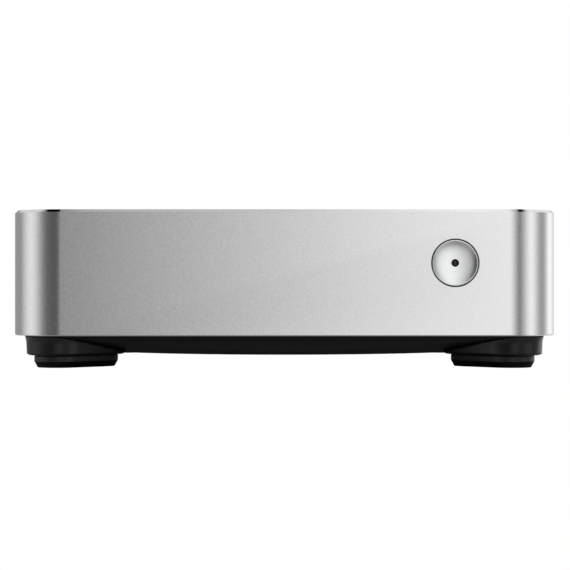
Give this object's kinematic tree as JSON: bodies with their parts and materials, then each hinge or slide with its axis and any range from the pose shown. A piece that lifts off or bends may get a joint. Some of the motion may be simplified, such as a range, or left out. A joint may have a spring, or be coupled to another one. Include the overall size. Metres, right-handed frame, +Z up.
{
  "type": "mini pc",
  "caption": "Low square desktop computer: satin aluminium cover with a round front power button, on a black plastic base with oblong corner feet.",
  "frame": {"origin": "on the desk under the middle of the computer, at the bottom centre of its bounding box", "axes": "+Z up; the front wall with the power button faces -Y; +X to the right when seen from the front"},
  "size_m": [0.19, 0.19, 0.055],
  "materials": {
    "cover_aluminium": "bead-blasted satin anodised, with polished edges",
    "button_metal": "bright turned",
    "lens_plastic": "dark smoked",
    "base_plastic": "fine-textured black",
    "foot_rubber": "matt",
    "guide_plastic": "matt black",
    "circuit_board": "green solder resist",
    "antenna_film": "amber film",
    "plated_steel": "tin-plated",
    "processor_lid": "nickel-plated",
    "fin_aluminium": "plain",
    "fan_plastic": "matt black",
    "drive_case": "cast and brushed",
    "lead_sheath": "black insulation",
    "socket_plastic": "matt black"
  },
  "bodies": {
    "chassis": {"aerial_lead_left": "lead_sheath", "aerial_lead_right": "lead_sheath", "antenna_left": "antenna_film", "antenna_right": "antenna_film", "audio_socket": "socket_plastic", "base_tub": "base_plastic", "board_screw_1": "plated_steel", "board_screw_2": "plated_steel", "board_screw_3": "plated_steel", "board_screw_4": "plated_steel", "cell_holder": "socket_plastic", "chipset_cooler": "fin_aluminium", "clock_cell": "processor_lid", "display_socket": "plated_steel", "drive_bracket": "plated_steel", "drive_cable": "socket_plastic", "fan_header": "socket_plastic", "fan_housing": "fan_plastic", "fan_lead": "lead_sheath", "fan_stator": "processor_lid", "foot_front_left": "foot_rubber", "foot_front_right": "foot_rubber", "foot_rear_left": "foot_rubber", "foot_rear_right": "foot_rubber", "mainboard": "circuit_board", "memory_module_lower": "circuit_board", "memory_module_upper": "circuit_board", "memory_socket_lower": "socket_plastic", "memory_socket_upper": "socket_plastic", "network_socket": "plated_steel", "power_socket": "socket_plastic", "processor": "processor_lid", "processor_cooler": "fin_aluminium", "rear_panel": "base_plastic", "speaker_left": "guide_plastic", "speaker_right": "guide_plastic", "storage_drive": "drive_case", "switch_board": "circuit_board", "switch_body": "socket_plastic", "switch_bracket": "guide_plastic", "usb_socket_1": "plated_steel", "usb_socket_2": "plated_steel", "video_socket": "plated_steel", "wireless_card": "circuit_board", "wireless_socket": "socket_plastic"},
    "cover": {"cover_shell": "cover_aluminium", "button_guide": "guide_plastic"},
    "button": {"power_button": "button_metal", "light_pipe": "lens_plastic"},
    "plunger": {"switch_plunger": "socket_plastic"},
    "rotor": {"fan_rotor": "fan_plastic"}
  },
  "joints": [
    {"name": "cover_lift", "type": "slide", "parent": "chassis", "child": "cover", "axis": [0, 0, 1], "range_m": [0, 0.06]},
    {"name": "button_press", "type": "slide", "parent": "cover", "child": "button", "axis": [0, 1, 0], "range_m": [0, 0.0008], "stiffness_N_per_m": 1200, "springref_m": -0.0003},
    {"name": "plunger_press", "type": "slide", "parent": "chassis", "child": "plunger", "axis": [0, 1, 0], "range_m": [0, 0.0008]},
    {"name": "fan_spin", "type": "hinge", "parent": "chassis", "child": "rotor", "pos_m": [0.042, 0.026, 0.04], "axis": [0, 0, 1], "continuous": true}
  ],
  "couplings": [
    {"joint": "plunger_press", "follows": "button_press", "ratio": 1}
  ]
}
